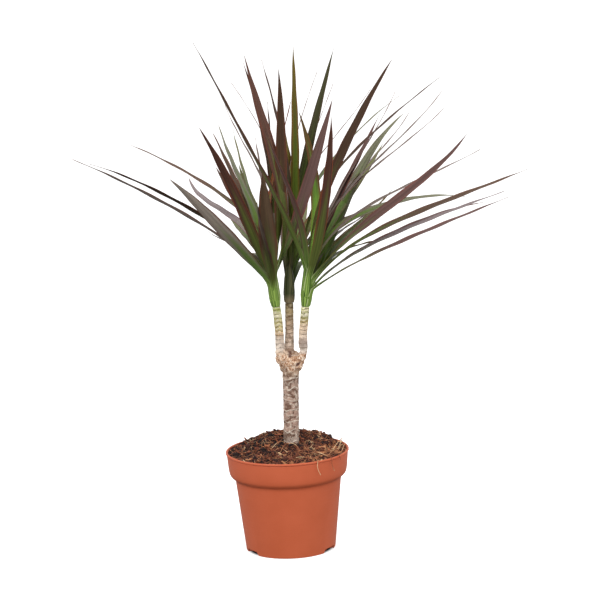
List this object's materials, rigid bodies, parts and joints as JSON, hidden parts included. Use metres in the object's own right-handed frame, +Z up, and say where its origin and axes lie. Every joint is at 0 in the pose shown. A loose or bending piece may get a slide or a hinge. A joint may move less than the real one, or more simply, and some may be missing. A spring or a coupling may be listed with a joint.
{
  "type": "potted dracaena marginata",
  "caption": "Dragon tree house plant: an orange nursery pot with its root ball, a woody stump that branches at a callus knob into canes, and a narrow-leaved head on each cane.",
  "frame": {"origin": "centre of the pot's foot, on its flat underside", "axes": "+Z up along the pot's axis, -Y towards the picture's camera, +X to the right in the picture"},
  "size_m": [0.432, 0.4063, 0.505],
  "materials": {
    "pot_plastic": "satin",
    "coir_peat": "matte",
    "bark": "matte",
    "leaf": "satin"
  },
  "bodies": {
    "root": {"pot": "pot_plastic", "soil": "coir_peat", "trunk": "bark", "head_left": "leaf", "head_middle": "leaf", "head_right": "leaf"}
  },
  "joints": []
}
